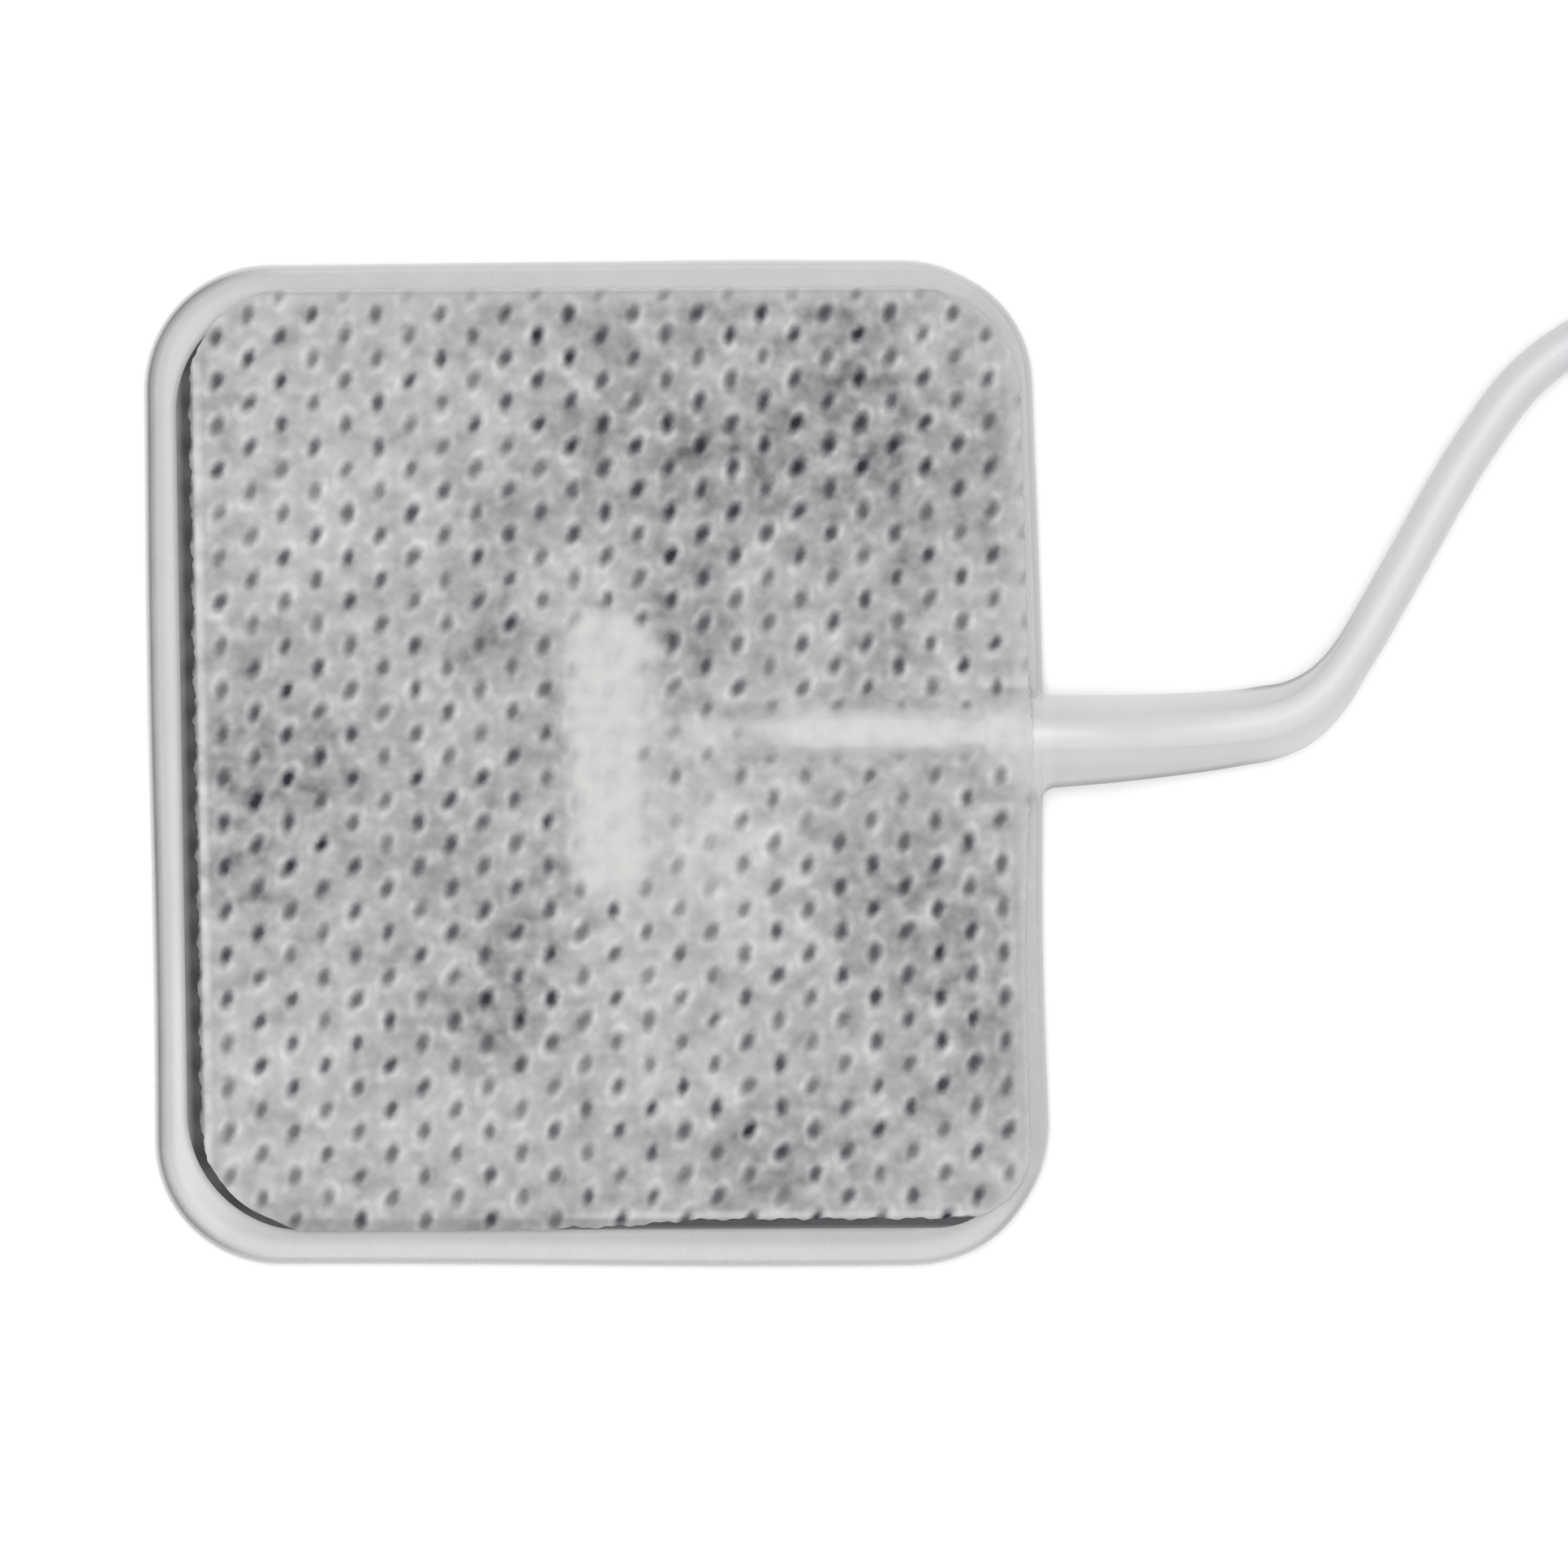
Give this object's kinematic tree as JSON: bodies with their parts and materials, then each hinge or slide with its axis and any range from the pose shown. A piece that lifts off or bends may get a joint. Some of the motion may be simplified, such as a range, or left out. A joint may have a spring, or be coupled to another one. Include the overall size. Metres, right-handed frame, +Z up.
{
  "type": "pregelled electrode pad",
  "caption": "Flat self-adhesive electrode pad: clear gel, black carbon film and embossed white cloth with rounded corners, and a short white lead in a clear winged sleeve that ends in a pin socket",
  "frame": {"origin": "middle of the gel's lower face, the face for the skin, on the surface that the pad lies on", "axes": "+X points from the pad towards its lead, +Y runs along the longer side, +Z is up, cloth side up"},
  "size_m": [0.0953, 0.0685, 0.0046],
  "materials": {
    "clear_gel": "clear, soft and glossy hydrogel",
    "carbon_black": "matt black carbon-filled film",
    "tinned_strands": "fine bare metal strands",
    "white_tape": "matt white adhesive tape",
    "white_nonwoven": "thin white non-woven cloth with embossed bond points",
    "white_insulation": "smooth soft white insulation",
    "clear_sleeve": "clear soft plastic",
    "white_moulding": "smooth white moulding",
    "nickel_plate": "plated metal"
  },
  "bodies": {
    "root": {"hydrogel_slab": "clear_gel", "carbon_film": "carbon_black", "conductor_strands": "tinned_strands", "cover_patch": "white_tape", "backing_cloth": "white_nonwoven", "lead_wire": "white_insulation", "strain_relief_sleeve": "clear_sleeve", "socket_housing": "white_moulding", "socket_contact": "nickel_plate"}
  },
  "joints": []
}
